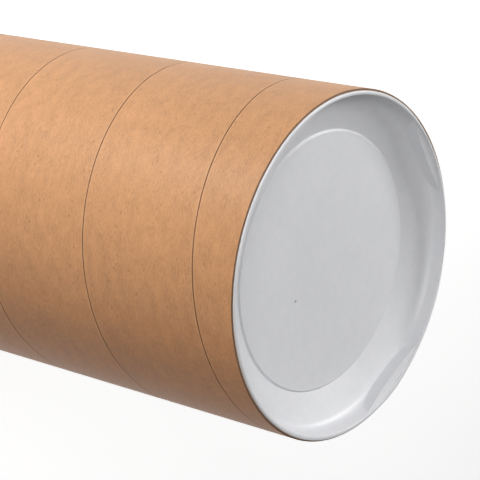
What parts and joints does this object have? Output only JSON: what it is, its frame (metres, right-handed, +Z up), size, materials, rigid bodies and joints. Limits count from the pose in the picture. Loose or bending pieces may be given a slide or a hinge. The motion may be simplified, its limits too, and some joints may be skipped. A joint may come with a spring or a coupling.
{
  "type": "cardboard mailing tube",
  "caption": "Wide spiral-wound kraft cardboard mailing tube with a recessed white plastic push-in cap in each end.",
  "frame": {"origin": "middle of the base, on the plane of the bottom cap's rim that the tube stands on", "axes": "+Z up along the tube's axis, from the bottom cap to the top cap; +X and +Y are level, with the first flat of the top cap 52 degrees from +X towards +Y"},
  "size_m": [0.2603, 0.2604, 0.6126],
  "materials": {
    "kraft_board": "smooth brown kraft paper with a faint sheen, fine fibres and a thin dark spiral seam",
    "white_polyethylene": "satin moulded plastic, faintly scuffed"
  },
  "bodies": {
    "bottom": {"bottom_cap": "white_polyethylene"},
    "tube": {"kraft_tube": "kraft_board"},
    "top": {"top_cap": "white_polyethylene"}
  },
  "joints": [
    {"name": "tube_off_bottom_cap", "type": "slide", "parent": "bottom", "child": "tube", "axis": [0, 0, 1], "range_m": [0, 0.08]},
    {"name": "top_cap_off_tube", "type": "slide", "parent": "tube", "child": "top", "axis": [0, 0, 1], "range_m": [0, 0.08]}
  ]
}
